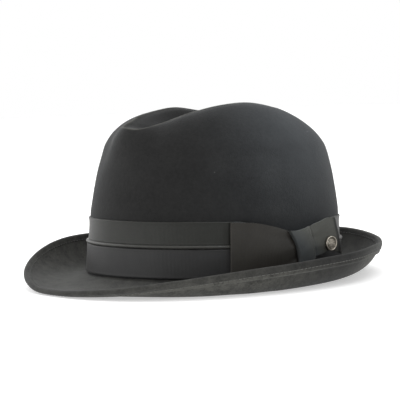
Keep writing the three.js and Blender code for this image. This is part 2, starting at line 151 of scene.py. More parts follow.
def crown_at(angle, reach, height):
    """Point of the crown, pushed in where the fingers pinch its front."""
    angle, reach, height = np.broadcast_arrays(np.asarray(angle, float), reach, height)
    point = oval(angle) * reach[..., None]
    point[..., 2] = height
    push = 0
    for at, tall_at, wide, tall in zip(*PINCHES.values()):
        across = ((angle - at + 180) % 360 - 180) / wide
        push = push + PINCH_DEPTH * np.exp(-across**2 - ((height / CROWN_HEIGHT - tall_at) / tall) ** 2)
    return point - outward(angle) * push[..., None]


def crown_side(angle, height):
    """Point of the crown's side."""
    return crown_at(angle, smooth(CROWN_SIDE, "height", "reach", height / SHOULDER_HEIGHT), height)


def brim_at(angle, share, steps=96):
    """Point of the brim at a share of its width. The slope turns late, so the rim curls tightest."""
    leaves = np.radians(around(BRIM, "leaves", angle))[:, None]
    turn = np.radians(around(BRIM, "ends", angle))[:, None] - leaves
    length = around(BRIM, "width", angle)[:, None] * BRIM_WIDTH / steps
    slope = leaves + turn * ((np.arange(steps) + 0.5) / steps) ** CURL_LATENESS
    ends = np.arange(steps + 1) / steps
    start = np.zeros((len(angle), 1))
    walks = (np.hstack([start, np.cumsum(part(slope) * length, 1)]) for part in (np.cos, np.sin))
    out, up = (np.array([np.interp(share, ends, line) for line in walk]) for walk in walks)
    point = oval(angle)[:, None] + outward(angle)[:, None] * out[..., None]
    point[..., 2] = up
    return point


front = brim_at(np.array([0.0]), [1.0])[0, 0]
print("Crown centre to the front of the brim, in mm:", np.round(-front[1] / MM, 1))

# %% [markdown]
# A hat that is put down leans until its brim touches in front and behind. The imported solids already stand
# that way: they lean back by 2.14 degrees, and the crown's centre isn't quite the middle of the outline.
# This matrix carries a point of the upright hat to its place, and every piece below goes through it.

# %% How the hat stands
LEAN = math.radians(-2.14)
CROWN_CENTRE = Vector((-0.5, 7.2, 5.1)) * MM
STANDING = Matrix.Translation(CROWN_CENTRE) @ Matrix.Rotation(LEAN, 4, "X")
ROUND_MATRIX = np.array(STANDING)[:3, :3]


def stand(points):
    """Points of the upright hat, leaned and moved to where the hat rests."""
    return points @ ROUND_MATRIX.T + np.array(CROWN_CENTRE)


print("Leans back by, in degrees:", round(-math.degrees(LEAN), 2))

# %% [markdown]
# The portrait is taken from the front left, a little above the brim, with a long lens. A long lens keeps
# the near and far brim alike in size. The camera looks at the spot that is in the middle of the picture.

# %% Camera
CAMERA_ROUND = math.radians(50)
CAMERA_DISTANCE = 1.2
CAMERA_HEIGHT = 110.4 * MM
PICTURE_MIDDLE = Vector((-7.8, -9.25, 52.65)) * MM
PICTURE_PIXELS = 400
FOCAL_PIXELS = 1584
SENSOR_WIDTH = 36


def placed(name, data):
    """A new object in the scene."""
    thing = bpy.data.objects.new(name, data)
    bpy.context.scene.collection.objects.link(thing)
    return thing


def place_camera():
    """A level camera beside the upright hat, carried to where the hat rests."""
    eye = Vector((math.sin(CAMERA_ROUND), -math.cos(CAMERA_ROUND), 0)) * CAMERA_DISTANCE
    eye.z = CAMERA_HEIGHT
    aim = (PICTURE_MIDDLE - eye).to_track_quat("-Z", "Y").to_matrix().to_4x4()
    data = bpy.data.cameras.new("portrait_camera")
    data.sensor_width = SENSOR_WIDTH
    data.lens = SENSOR_WIDTH * FOCAL_PIXELS / PICTURE_PIXELS
    data.clip_start = 0.05
    camera = placed("portrait_camera", data)
    camera.matrix_world = STANDING @ Matrix.Translation(eye) @ aim
    bpy.context.scene.camera = camera
    return camera


camera = place_camera()
print("Lens, in mm:", round(camera.data.lens), "height over the table, in mm:", round(camera.location.z / MM))

# %% [markdown]
# Most pieces here are grids of points: so many sides round the hat or along a ribbon, and so many rings
# across. One helper joins the points of a grid into four-sided faces and turns them outward. It can also
# keep numbers at each point, which the finishes read later, such as how worn the felt is and how much light
# is painted on it.

# %% Meshes from grids


def grid_piece(name, grid, numbers=None, round_hat=True, tube=False, poles=(), caps=False):
    """A piece from a grid of points, sides by rings."""
    sides, rings = grid.shape[:2]
    index = np.arange(sides * rings).reshape(sides, rings)
    index = np.vstack([index, index[:1]]) if round_hat else index
    index = np.hstack([index, index[:, :1]]) if tube else index
    corners = [index[:-1, :-1], index[:-1, 1:], index[1:, 1:], index[1:, :-1]]
    faces = np.stack(corners, -1).reshape(-1, 4).tolist()
    points = [*stand(grid.reshape(-1, 3)), *(stand(np.array(pole)) for pole in poles)]
    for pole, ring in zip(range(len(poles)), (0, -1)):
        faces += [(sides * rings + pole, index[side, ring], index[side + 1, ring]) for side in range(sides)]
    if caps:
        faces += [index[0, :rings].tolist(), index[-1, :rings].tolist()]
    mesh = bpy.data.meshes.new(name)
    mesh.from_pydata([tuple(point) for point in points], [], faces)
    for label, values in (numbers or {}).items():
        flat = np.asarray(values, np.float32).reshape(sides * rings, -1)
        flat = np.vstack([flat, np.zeros((len(poles), flat.shape[1]), np.float32)])
        vector = flat.shape[1] == 3
        layer = mesh.attributes.new(label, "FLOAT_VECTOR" if vector else "FLOAT", "POINT")
        layer.data.foreach_set("vector" if vector else "value", flat.ravel())
    return finish_mesh(name, mesh)


def finish_mesh(name, mesh):
    """Faces turned outward and shaded smooth, as an object that rides on the hat."""
    work = bmesh.new()
    work.from_mesh(mesh)
    bmesh.ops.recalc_face_normals(work, faces=work.faces)
    work.to_mesh(mesh)
    work.free()
    mesh.shade_smooth()
    piece = placed(name, mesh)
    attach(piece, "root")
    print(name, "has", len(mesh.polygons), "faces")
    return piece


# %% [markdown]
# The hood is one body of felt. Its outside line runs from the floor of the dent over the ridge, down the
# shoulder and side, round the break and out along the brim. A hatter's thumb leaves the near edge of the
# dent as a crisp fold, so the ridge is raised there by a narrow crease, and the surface wavers a little, as
# felt that was steamed and shaped by hand does. It is held firm at the break, so it wavers fully only some
# way off.

# %% Outside of the felt
HOOD_SIDES = 288
DENT_RINGS = 24
CROWN_RINGS = 26
BRIM_RINGS = 46
CREASE_HEIGHT = 0.8 * MM
CREASE_WIDTH = 1.0 * MM
CREASE = rows("at share", (-150, 0.3), (-60, 0.6), (-25, 0.7), (0, 0.5), (20, 1), (75, 1), (110, 0.5),
              (180, 0.3))
WAVER = 0.35 * MM
WAVER_LENGTH = 38 * MM
FULL_WAVER = 45 * MM
angles = np.arange(HOOD_SIDES) * 360 / HOOD_SIDES


def lines_outside(angle):
    """Points of the felt's outside, from the dent to the rim, and the ring of the ridge."""
    column = angle[:, None]
    ridge = around(RIDGE, "height", angle)[:, None] * CROWN_HEIGHT
    reach = around(RIDGE, "reach", angle)[:, None]
    out = 1 - (1 - np.linspace(0.08, 1, DENT_RINGS)) ** 1.3
    rise = smooth(DENT_WALL, "out", "rise", out)
    dent = crown_at(column, out * reach, DENT_FLOOR + rise * (ridge - DENT_FLOOR))
    step = CROWN_SHOULDER["step"][-1] * (1 - np.linspace(0, 1, CROWN_RINGS)[1:] ** 1.2)
    edge = CROWN_SIDE["reach"][-1]
    inward = smooth(CROWN_SHOULDER, "step", "inward", step)
    climb = smooth(CROWN_SHOULDER, "step", "rise", step)
    shoulder = crown_at(column, edge + inward * (reach - edge),
                        SHOULDER_HEIGHT + climb * (ridge - SHOULDER_HEIGHT))
    side = crown_side(column, np.linspace(SHOULDER_HEIGHT, BREAK_RADIUS, CROWN_RINGS)[1:])
    from_edge = np.linspace(1, 0, BRIM_RINGS) ** 1.4 * (1 - BREAK_RADIUS / BRIM_WIDTH)
    brim = brim_at(angle, 1 - from_edge)
    corner = oval(angle)
    bend = [side[:, -1] * (1 - t) ** 2 + corner * 2 * t * (1 - t) + brim[:, 0] * t**2
            for t in (0.25, 0.5, 0.75)]
    return np.concatenate([dent, shoulder, side, np.stack(bend, 1), brim], 1), dent.shape[1] - 1


def normals_of(grid):
    """Direction square to a grid that runs round the hat."""
    along = np.roll(grid, -1, 0) - np.roll(grid, 1, 0)
    return unit(np.cross(np.gradient(grid, axis=1), along))


def waver(grid):
    """Slow, small ups and downs of shaped felt, the same each run."""
    flat = [noise.noise(Vector(point) / WAVER_LENGTH) for point in grid.reshape(-1, 3)]
    return WAVER * np.array(flat).reshape(grid.shape[:2])


outside, ridge_ring = lines_outside(angles)
outside_normals = normals_of(outside)
walked = np.cumsum(np.linalg.norm(np.diff(outside, axis=1, prepend=outside[:, :1]), axis=-1), 1)
from_ridge = walked - walked[:, ridge_ring:ridge_ring + 1]
crease = around(CREASE, "share", angles)[:, None] * np.exp(-(from_ridge / CREASE_WIDTH) ** 2)
from_rim = walked[:, -1:] - walked
free = np.clip(from_rim / WELT_WIDTH, 0, 1) * np.clip(np.abs(outside[..., 2]) / FULL_WAVER, 0, 1)
print("Felt from the dent to the rim, in mm:", np.round(walked[[0, HOOD_SIDES // 2], -1] / MM))

# %% [markdown]
# The brim's edge is a narrow welt: the felt is turned under and stitched down close to the fold, so the rim
# is nearly twice as thick, and round, and the cut edge shows on the underside as a small step. The rings of
# the brim lie closest together there. The inside of the hood is the outside moved in by the felt's
# thickness. Where the hat rests, the felt is pressed flat.

# %% Felt hood
WELT_STEP = 0.7 * MM
STITCH_IN = 2.6 * MM
SEAM_SINK = 0.35 * MM
TOP_SINK = 0.2 * SEAM_SINK
SEAM_WIDTH = 0.9 * MM
FINE_RINGS = 24
THICK_RIM = FELT + WELT_FELT
from_seam = from_rim - (WELT_WIDTH - STITCH_IN)
seam = np.exp(-(from_seam / SEAM_WIDTH) ** 2)
lift = CREASE_HEIGHT * crease + waver(outside) * free - TOP_SINK * seam
top_face = outside + outside_normals * lift[..., None]


def rim_round(edge, normal, beyond, steps=8):
    """Half round from the upper face of the rim to the lower one."""
    middle = edge - normal * THICK_RIM / 2
    turns = np.pi / 2 - np.pi * np.arange(1, steps) / steps
    arc = [middle + (beyond * np.cos(turn) + normal * np.sin(turn)) * THICK_RIM / 2 for turn in turns]
    return np.stack(arc, 1)


def underside():
    """Inside of the felt, from under the rim back to the dent. Past the welt it has half the rings."""
    covered = np.clip((WELT_WIDTH + WELT_STEP / 2 - from_rim) / WELT_STEP, 0, 1)
    thick = FELT + WELT_FELT * covered**2 * (3 - 2 * covered) - SEAM_SINK * seam
    under = outside + outside_normals * (waver(outside) * free - thick)[..., None]
    last = under.shape[1] - 1
    keep = [*range(last, last - FINE_RINGS, -1), *range(last - FINE_RINGS, 0, -2)]
    return under[:, keep], from_rim[:, keep]


rim_normal = outside_normals[:, -1]
past_rim = unit(np.cross(np.cross([0.0, 0.0, 1.0], outward(angles)), rim_normal))
inside, inside_from_rim = underside()
cap = rim_round(outside[:, -1], rim_normal, past_rim)
hood = np.concatenate([top_face, cap, inside], 1)
print("Hood grid:", hood.shape[0], "sides by", hood.shape[1], "rings")

# %% [markdown]
# A number at each point says how far the felt is paled there, partly by wear and partly by painted light.
# Hands touch the brim more than the crown, so its nap is brushed up and paler, most of all in front and
# underneath; the same share also paints light onto the brim where it lies in shade, its strength set angle
# by angle round the hat. A painted highlight lies along the fold of the crown and between the stitches and
# the cut edge of the welt, while the fold of the rim gets less and stays darker.

# %% Wear and painted light on the felt, and the hood itself
BRUSHED_AND_LIT = 0.5
BRUSHED_AND_LIT_FADE = 1.7
CREASE_PAINTED_HIGHLIGHT = 1.4
RIM_FOLD_WORN_AND_LIT = 0.35
HANDLED_AND_LIT = rows("at share", (-150, 0.6), (-60, 1.2), (0, 1.05), (40, 1.1), (90, 0.6), (135, 0.8))
RUBBED_AND_LIT = rows("at share", (-150, 0.6), (-60, 1.15), (0, 1.1), (40, 1.6), (70, 1.15), (88, 0.6), (104, 0.45),
              (118, 1.5), (135, 1.9))
WORN_AND_LIT_UNDER = rows("in worn", (0, 0.35), (2, 0.4), (2.8, 0.9), (4.7, 0.95), (5.2, 1.7), (5.9, 0.7), (12, 0.7),
                  (30, 0.8), (46, 0.8), (50, 0))


def felt_wear_and_painted_light():
    """Share of wear and painted light at each point of the hood."""
    handled_and_lit, rubbed_and_lit = (around(table, "share", angles)[:, None] for table in (HANDLED_AND_LIT, RUBBED_AND_LIT))
    fade = np.clip(BRUSHED_AND_LIT_FADE - from_rim / BRIM_WIDTH, 0, 1)
    brim_wear_and_light = BRUSHED_AND_LIT * fade * (from_rim < BRIM_WIDTH) * handled_and_lit
    # Painted highlight along the crown's fold; on the brim, wear together with painted light where it lies in
    # shade.
    top = np.maximum(CREASE_PAINTED_HIGHLIGHT * crease, brim_wear_and_light)
    rim_fold_wear_and_light = RIM_FOLD_WORN_AND_LIT * rubbed_and_lit + np.zeros(cap.shape[:2])
    # Underneath, wear together with painted light, and a painted highlight at the cut edge of the welt.
    under = np.interp(inside_from_rim / MM, WORN_AND_LIT_UNDER["in"], WORN_AND_LIT_UNDER["worn"]) * rubbed_and_lit
    return np.concatenate([top, rim_fold_wear_and_light, under], 1)


def rest_flat(piece):
    """The felt flattened where it lies on the table."""
    for vertex in piece.data.vertices:
        vertex.co.z = max(vertex.co.z, 0)


# The worn share of the hood is wear and painted light together.
felt_hood = grid_piece("felt_crown_and_brim", hood, {"worn": felt_wear_and_painted_light()},
                       poles=[(0, 0, DENT_FLOOR), (0, 0, DENT_FLOOR - FELT)])
rest_flat(felt_hood)
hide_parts("felt_hood")
print("Hood stands from", round(min(v.co.z for v in felt_hood.data.vertices) / MM, 2), "mm up")

# %% [markdown]
# A finish is a small network of nodes that ends in one Principled shader. These helpers keep the networks
# short: one makes the shader with its plain values, one adds a node with its settings and its inputs, where
# an input is either a plain value or the output of another node, and one joins the last outputs to the
# shader.

# %% Helpers for finishes


def new_finish(name, plain):
    """A finish, its nodes and the place on the piece, with the shader's plain values set."""
    finish = bpy.data.materials.new(name)
    finish.use_nodes = True
    for socket, value in plain.items():
        finish.node_tree.nodes["Principled BSDF"].inputs[socket].default_value = value
    return finish, finish.node_tree, add(finish.node_tree, "ShaderNodeTexCoord").outputs["Object"]


def join(tree, **outputs):
    """Outputs joined to the inputs of the shader that have these names."""
    for name, output in outputs.items():
        tree.links.new(output, tree.nodes["Principled BSDF"].inputs[name.replace("_", " ")])


def add(tree, kind, settings=None, **inputs):
    """A node with its settings and inputs. An input's number is written after the letters in."""
    node = tree.nodes.new(kind)
    for name, value in (settings or {}).items():
        setattr(node, name, value)
    for name, value in inputs.items():
        socket = node.inputs[int(name[2:]) if name.startswith("in") else name.replace("_", " ")]
        if isinstance(value, bpy.types.NodeSocket):
            tree.links.new(value, socket)
        else:
            socket.default_value = value
    return node


def grain(tree, place, size, detail=3.0, rough=0.55):
    """Noise from 0 to 1 with features of a given size in metres."""
    node = add(tree, "ShaderNodeTexNoise", Vector=place, Scale=1 / size, Detail=detail, Roughness=rough)
    return node.outputs["Fac"]


def maths(tree, operation, *values):
    """One step of arithmetic on numbers or outputs."""
    inputs = {f"in{place}": value for place, value in enumerate(values)}
    return add(tree, "ShaderNodeMath", {"operation": operation}, **inputs).outputs[0]


def tones(tree, share, *stops):
    """Colour ramp from pairs of a share and a colour."""
    ramp = add(tree, "ShaderNodeValToRGB", Fac=share)
    points = ramp.color_ramp.elements
    for place in range(len(stops) - 2):
        points.new(0.5)
    for point, (at, colour) in zip(points, stops):
        point.position = at
        point.color = (*colour, 1)
    return ramp.outputs["Color"]


def relief(tree, height, depth, strength=1.0, under=None):
    """Fine relief of a depth in metres, on top of another relief."""
    inputs = {"Height": height, "Distance": depth, "Strength": strength}
    if under is not None:
        inputs["Normal"] = under
    return add(tree, "ShaderNodeBump", **inputs).outputs["Normal"]


def kept(tree, label="worn"):
    """Outputs of a number that a piece keeps at its points."""
    return add(tree, "ShaderNodeAttribute", {"attribute_name": label}).outputs


# %% [markdown]
# Fur felt is matted rabbit fibre, so it has no threads: it is nearly matt, dark grey rather than black
# where light strikes it, and a soft bloom of standing fibres shows where it is seen edge on. That bloom is
# the shader's sheen. The colour drifts a little over some centimetres, the nap is a fine relief about half
# a millimetre across, and a few pale specks of lint lie on it.

# %% Felt finish
FELT_DARK = (0.0085, 0.0085, 0.0085)
FELT_LIGHT = (0.0175, 0.0175, 0.0172)
FELT_WORN_AND_LIT = (0.084, 0.0835, 0.075)
LINT = (0.14, 0.14, 0.135)


def mixed(tree, share, colour, plain):
    """A colour turned into a plain one by a share."""
    node = add(tree, "ShaderNodeMix", {"data_type": "RGBA"}, Factor=share, in6=colour, in7=(*plain, 1))
    return node.outputs[2]


def felt_finish():
    """Black fur felt with nap, bloom, wear with painted light, and lint."""
    finish, tree, place = new_finish("black_fur_felt", {
        "Roughness": 0.85, "Specular IOR Level": 0.14, "Sheen Weight": 0.1, "Sheen Roughness": 0.45,
        "Sheen Tint": (0.96, 0.98, 1.0, 1)})
    drift = maths(tree, "MULTIPLY", grain(tree, place, 30 * MM), 0.55)
    mottle = maths(tree, "MULTIPLY", grain(tree, place, 2.4 * MM, 4.0, 0.65), 0.45)
    colour = tones(tree, maths(tree, "ADD", drift, mottle), (0.32, FELT_DARK), (0.68, FELT_LIGHT))
    patches = maths(tree, "MULTIPLY_ADD", grain(tree, place, 7 * MM, 4.0, 0.6), 1.8, -0.5)
    tufts = maths(tree, "MULTIPLY_ADD", grain(tree, place, 1.6 * MM, 3.0, 0.7), 1.5, -0.4)
    # The worn share paints light as well as wear: the brim paled where it lies in shade, and highlights on
    # the crown's fold and the welt's edge.
    patchy_wear_and_light = maths(tree, "MULTIPLY", kept(tree)["Fac"], maths(tree, "ADD", patches, tufts))
    colour = mixed(tree, patchy_wear_and_light, colour, FELT_WORN_AND_LIT)
    cells = add(tree, "ShaderNodeTexVoronoi", Vector=place, Scale=1 / (16 * MM)).outputs["Distance"]
    speck = maths(tree, "MULTIPLY", maths(tree, "LESS_THAN", cells, 0.03), grain(tree, place, 20 * MM))
    colour = mixed(tree, speck, colour, LINT)
    nap = relief(tree, grain(tree, place, 1.5 * MM, 5.0, 0.7), 0.35 * MM, 0.7)
    fibre = add(tree, "ShaderNodeMapping", Vector=place, Scale=(1, 1, 0.35)).outputs[0]
    nap = relief(tree, grain(tree, fibre, 0.5 * MM, 2.0), 0.12 * MM, 0.6, nap)
    join(tree, Base_Color=colour, Normal=nap)
    return finish


black_felt = felt_finish()
felt_hood.data.materials.append(black_felt)
print("Felt nodes:", len(black_felt.node_tree.nodes))

# %% [markdown]
# The welt is held by a row of lockstitches that shows on both faces. Each stitch is a short soft bar of
# thread that dips into the felt at both ends. They lie at an even pitch along the line of the seam, so a
# longer brim gets more stitches and not longer ones. A whole row is worked out at once, as one array.

# %% Welt stitches
STITCH_PITCH = 3.4 * MM
STITCH_LENGTH = 2.8 * MM
THREAD_RADIUS = 0.34 * MM
THREAD_PROUD = 0.75
THREAD_DIP = 1.6
THREAD_SIDES = 6
STITCH_RINGS = 5


def line_at(line, distances, walked_line):
    """Points at distances along a closed line."""
    closed = np.vstack([line, line[:1]])
    return np.stack([np.interp(distances, walked_line, closed[:, axis]) for axis in range(3)], -1)


def stitch_row(name, line, normal):
    """A row of stitches along a closed line, proud of the felt along its normal."""
    steps = np.linalg.norm(np.diff(np.vstack([line, line[:1]]), axis=0), axis=1)
    walked_line = np.concatenate([[0], np.cumsum(steps)])
    length = walked_line[-1]
    count = int(length / STITCH_PITCH)
    arch = np.linspace(-1, 1, STITCH_RINGS)
    distances = ((np.arange(count)[:, None] + 0.5) * length / count + arch * STITCH_LENGTH / 2) % length
    middle = line_at(line, distances, walked_line)
    up = line_at(normal, distances, walked_line)
    beside = np.cross(unit(middle[:, -1:] - middle[:, :1]), up)
    middle = middle + up * THREAD_RADIUS * (THREAD_PROUD - THREAD_DIP * arch**2)[:, None]
    turns = 2 * math.pi * np.arange(THREAD_SIDES)[:, None] / THREAD_SIDES
    offset = beside[:, :, None] * np.cos(turns) + up[:, :, None] * np.sin(turns)
    points = stand((middle[:, :, None] + offset * THREAD_RADIUS).reshape(-1, 3))
    index = np.arange(len(points)).reshape(offset.shape[:3])
    after = np.roll(index, -1, 2)
    faces = np.stack([index[:, :-1], after[:, :-1], after[:, 1:], index[:, 1:]], -1).reshape(-1, 4).tolist()
    faces += [*index[:, 0].tolist(), *index[:, -1].tolist()]
    mesh = bpy.data.meshes.new(name)
    mesh.from_pydata([tuple(point) for point in points], [], faces)
    print(name, "has", count, "stitches")
    row = finish_mesh(name, mesh)
    rest_flat(row)
    return row


def thread_finish(name, dark, light):
    """Sewing thread with a twist along it."""
    finish, tree, place = new_finish(name, {"Roughness": 0.6, "Sheen Weight": 0.1})
    shade = tones(tree, grain(tree, place, 0.8 * MM), (0.3, dark), (0.7, light))
    join(tree, Base_Color=shade, Normal=relief(tree, grain(tree, place, 0.3 * MM), 0.08 * MM))
    return finish


seam_ring = int(np.argmin(np.abs(from_seam.mean(0))))
grey_thread = thread_finish("grey_thread", (0.05, 0.05, 0.045), (0.105, 0.105, 0.096))
black_thread = thread_finish("black_thread", (0.02, 0.02, 0.019), (0.04, 0.04, 0.038))
seam_normal = outside_normals[:, seam_ring]
under_line = outside[:, seam_ring] - seam_normal * (THICK_RIM - SEAM_SINK)
for row_name, row_line, row_normal, thread in (
        ("welt_stitches_top", top_face[:, seam_ring], seam_normal, black_thread),
        ("welt_stitches_under", under_line, -seam_normal, grey_thread)):
    row = stitch_row(row_name, row_line, row_normal)
    row.data.materials.append(thread)

# %% [markdown]
# The band is grosgrain: a ribbon with upright ribs about a millimetre apart, woven with a firm edge. Two
# tiers go round the crown with a corded seam between them. Each is a ring drawn from one section: a face
# that is a little full, and an edge that is slightly thicker than the face. The upper tier is gathered
# under the bow, so its top edge is drawn down there and doesn't show above the knot.

# %% Ribbon band
GAP = 0.3 * MM
LOWER_TIER = 20.5 * MM
UPPER_TIER = 16.4 * MM
LOWER_RIBBON = 1.8 * MM
UPPER_RIBBON = 1 * MM
PIPING_HEIGHT = 2.6 * MM
PIPING_DEPTH = 2.6 * MM
SELVEDGE = 0.55 * MM
SELVEDGE_PROUD = 0.15 * MM
BAND_FOOT = 1.2 * MM
TUCK = 0.45 * MM
BAND_SIDES = 360
BAND_START = 76
PIPING_BOTTOM = BREAK_RADIUS + LOWER_TIER
PIPING_TOP = PIPING_BOTTOM + PIPING_HEIGHT
BAND_TOP = PIPING_TOP + UPPER_TIER
band_angles = BAND_START + np.arange(BAND_SIDES) * 360 / BAND_SIDES
band_at = (band_angles + 180) % 360 - 180
TIER_TOP = rows("at share", (66, 1), (72, 0.95), (80, 0.86), (88, 0.76), (97, 0.76), (104, 0.85), (110, 0.93),
                (116, 0.97), (124, 1))
band_steps = np.linalg.norm(np.diff(oval(np.append(band_angles, band_angles[0])), axis=0), axis=1)
band_walked = np.concatenate([[0], np.cumsum(band_steps)[:-1]])
BAND_WAVER = 0.25 * MM
BAND_SWAY = 0.12
BAND_WAVES = 4


def tier_section(depth, height, steps=18):
    """Depth and rise of a tier's face from its lower edge to its upper one, with full edges."""
    share = np.linspace(0, 1, steps)
    rise = height * (0.5 - 0.5 * np.cos(math.pi * share))
    to_edge = np.minimum(rise, height - rise)
    edge = np.sqrt(np.clip(1 - (1 - np.clip(to_edge / SELVEDGE, 0, 1)) ** 2, 0, 1))
    full = SELVEDGE_PROUD * np.exp(-((to_edge - SELVEDGE) / SELVEDGE) ** 2)
    return (depth - SELVEDGE_PROUD) * edge + full, rise


def band_piece(name, grid, height):
    """A ring of the band that keeps the place on its ribbon at each point."""
    along = np.broadcast_to(band_walked[:, None], height.shape)
    return grid_piece(name, grid, {"cloth": np.stack([along, height, 0 * along], -1)}, tube=True)


def tier(name, bottom, top, depth, seed):
    """One tier of the band, a closed ring with a few soft waves. Its top may differ from side to side."""
    top = np.broadcast_to(top, band_angles.shape)[:, None]
    out, rise = tier_section(depth, top - bottom)
    out = np.hstack([out, 0 * top, 0 * top])
    rise = np.hstack([rise, top - bottom, 0 * top])
    column = band_at[:, None]
    turns = np.radians(band_angles)
    waves = BAND_WAVES * np.stack([np.cos(turns), np.sin(turns)], -1)
    sway = np.array([noise.noise(Vector((*wave, seed))) for wave in waves])[:, None]
    grid = crown_side(column, bottom + rise + 0 * column)
    stands = GAP + out * (1 + BAND_SWAY * sway)
    grid = grid + outward(column) * stands[..., None]
    grid[..., 2] += BAND_WAVER * sway * rise / (top - bottom)
    return band_piece(name, grid, grid[..., 2])


band_lower = tier("band_lower_tier", BAND_FOOT, PIPING_BOTTOM, LOWER_RIBBON, 1.7)
tier_top = BAND_TOP * smooth(TIER_TOP, "at", "share", band_at)
band_upper = tier("band_upper_tier", PIPING_TOP - TUCK, tier_top, UPPER_RIBBON, 5.3)
for dressed, node in ((band_lower, "band_lower"), (band_upper, "band_upper")):
    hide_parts(node)

# %% [markdown]
# The corded seam is a thin cord wrapped in ribbon. It is a round bead that stands proud of both tiers, and
# the upper tier is tucked in behind it. So its upper half catches the light, right against the tier above,
# and its lower half throws a fine dark line.

# %% Corded seam
BEAD_RADIUS = 1.28 * MM
TAPE_HEIGHT = 1.1 * MM


def corded_seam():
    """The cord and its tape as one ring."""
    turns = np.linspace(-0.8 * math.pi, 0.8 * math.pi, 15)
    middle = PIPING_DEPTH - BEAD_RADIUS
    out = np.concatenate([middle + BEAD_RADIUS * np.cos(turns), [0, 0]])
    rise = np.concatenate([BEAD_RADIUS * np.sin(turns), [TAPE_HEIGHT / 2, -TAPE_HEIGHT / 2]])
    column = band_angles[:, None]
    height = (PIPING_BOTTOM + PIPING_TOP) / 2 + rise + 0 * column
    grid = crown_side(column, height) + outward(column) * (GAP + out + 0 * column)[..., None]
    return band_piece("band_corded_seam", grid, height)


band_seam = corded_seam()
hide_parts("band_piping")

# %% [markdown]
# Grosgrain shines a little, because its ribs are rows of long floats of smooth thread. The relief of the
# ribs is a sine wave along the ribbon, with finer threads across it. The number kept at each point gives
# the place on the ribbon in metres, so the ribs stay upright and even round every bend.

# %% Ribbon finishes
RIB_PITCH = 0.95 * MM
THREAD_PITCH = 0.28 * MM
RIB_DEPTH = 0.08 * MM
RIBBON_SHADE = (0.01, 0.01, 0.009)


def ribbon_finish(name, dark, light, roughness, shine, painted_tone_to=None):
    """Grosgrain ribbon with ribs, threads and a soft shine. Its tone may turn to a painted tone of light, or
    to painted shade.
    """
    finish, tree, place = new_finish(name, {
        "Specular IOR Level": shine, "Sheen Weight": 0.05, "Sheen Roughness": 0.35})
    cloth = kept(tree, "cloth")["Vector"]
    parts = add(tree, "ShaderNodeSeparateXYZ", Vector=cloth).outputs
    rib = maths(tree, "SINE", maths(tree, "MULTIPLY", parts[0], 2 * math.pi / RIB_PITCH))
    thread = maths(tree, "SINE", maths(tree, "MULTIPLY", parts[1], 2 * math.pi / THREAD_PITCH))
    drift = grain(tree, place, 14 * MM)
    mottle = grain(tree, place, 1.2 * MM, 4.0)
    share = maths(tree, "ADD", maths(tree, "MULTIPLY", drift, 0.5), maths(tree, "MULTIPLY", mottle, 0.4))
    share = maths(tree, "ADD", share, maths(tree, "MULTIPLY", rib, 0.06))
    colour = tones(tree, share, (0.28, dark), (0.66, light))
    if painted_tone_to:
        # Painted tone of light, laid on where the turned share says.
        colour = mixed(tree, kept(tree, "turned")["Fac"], colour, painted_tone_to)
    colour = mixed(tree, kept(tree, "shaded")["Fac"], colour, RIBBON_SHADE)
    gloss = maths(tree, "MULTIPLY_ADD", mottle, 0.16, roughness - 0.08)
    ribs = relief(tree, maths(tree, "MULTIPLY_ADD", rib, 0.5, 0.5), RIB_DEPTH, 0.8)
    ribs = relief(tree, maths(tree, "MULTIPLY_ADD", thread, 0.5, 0.5), 0.03 * MM, 0.5, ribs)
    ribs = relief(tree, mottle, 0.05 * MM, 0.5, ribs)
    join(tree, Base_Color=colour, Roughness=gloss, Normal=ribs)
    return finish


upper_ribbon = ribbon_finish("upper_tier_grosgrain", (0.0095, 0.01, 0.008), (0.0165, 0.017, 0.014),
                             0.44, 0.28)
lower_ribbon = ribbon_finish("lower_tier_grosgrain", (0.014, 0.014, 0.0141), (0.0204, 0.0204, 0.0205),
                             0.5, 0.32)
cord_ribbon = ribbon_finish("corded_seam_ribbon", (0.02, 0.02, 0.018), (0.04, 0.04, 0.035), 0.4, 0.35)
for dressed, finish in ((band_upper, upper_ribbon), (band_lower, lower_ribbon), (band_seam, cord_ribbon)):
    dressed.data.materials.append(finish)
print("Ribs round the band:", round(float(band_walked[-1]) / RIB_PITCH))

# %% [markdown]
# The bow is flat and lies on the wearer's left. Its front wing covers both tiers and narrows towards the
# knot, and its back wing flares up and stands off the crown. The tables give each piece's lower and upper
# edge as shares of the band's height, how far its edges lean, and how far it stands off and puffs in the
# middle. Steps across a piece are shortest at its edges, so that the edges stay crisp when the surface is
# shaded smooth.

# %% Bow sections
WING_RIBBON = 1.6 * MM
KNOT_RIBBON = 2 * MM
BOW_LIFT = 8 * MM
BOW_SEAT = GAP + PIPING_DEPTH + GAP
BOW_COLUMNS = "at lean top bottom lift puff"
FRONT_WING = rows(BOW_COLUMNS, (60.9, 0, 0.985, 0.04, 0, 0), (65.3, 0, 0.985, 0.04, 0.03, 0.05),
                  (72, 0.5, 0.97, 0.04, 0.08, 0.09), (77, 1.5, 0.93, 0.06, 0.1, 0.1),
                  (82, 3, 0.88, 0.12, 0.06, 0.07), (87, 4, 0.82, 0.24, 0.01, 0.02), (91, 4, 0.78, 0.3, 0, 0))
KNOT = rows(BOW_COLUMNS, (86.4, 4.8, 0.82, 0.27, 0.3, 0.04), (90, 4.6, 0.82, 0.27, 0.38, 0.06),
            (94, 4, 0.85, 0.29, 0.4, 0.05), (97, 3.2, 0.89, 0.33, 0.4, 0.03))
